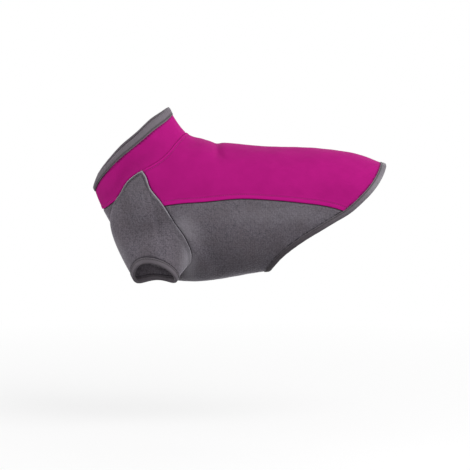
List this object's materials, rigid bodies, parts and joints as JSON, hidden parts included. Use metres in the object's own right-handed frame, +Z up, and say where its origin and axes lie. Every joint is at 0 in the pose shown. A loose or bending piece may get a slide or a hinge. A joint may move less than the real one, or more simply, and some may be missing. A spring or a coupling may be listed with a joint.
{
  "type": "dog fleece pullover",
  "caption": "Worn, empty fleece pullover for a small dog: smooth back and standing collar, brushed under panel and short raglan sleeves, taped edges.",
  "frame": {"origin": "inner face of the back panel on the spine at the withers, where the wearer's back holds the pullover", "axes": "+X towards the tail, +Z up, the garment's left side at -Y"},
  "size_m": [0.4257, 0.1728, 0.2537],
  "materials": {
    "magenta_smooth_fleece": "smooth-faced fleece, matt",
    "grey_brushed_fleece": "brushed fleece, heathered grain",
    "grey_binding_tape": "folded knit tape, slight sheen"
  },
  "bodies": {
    "root": {"back_panel": "magenta_smooth_fleece", "collar": "magenta_smooth_fleece", "under_panel": "grey_brushed_fleece", "left_sleeve": "grey_brushed_fleece", "right_sleeve": "grey_brushed_fleece", "collar_binding": "grey_binding_tape", "hem_binding": "grey_binding_tape", "left_cuff_binding": "grey_binding_tape", "right_cuff_binding": "grey_binding_tape"}
  },
  "joints": []
}
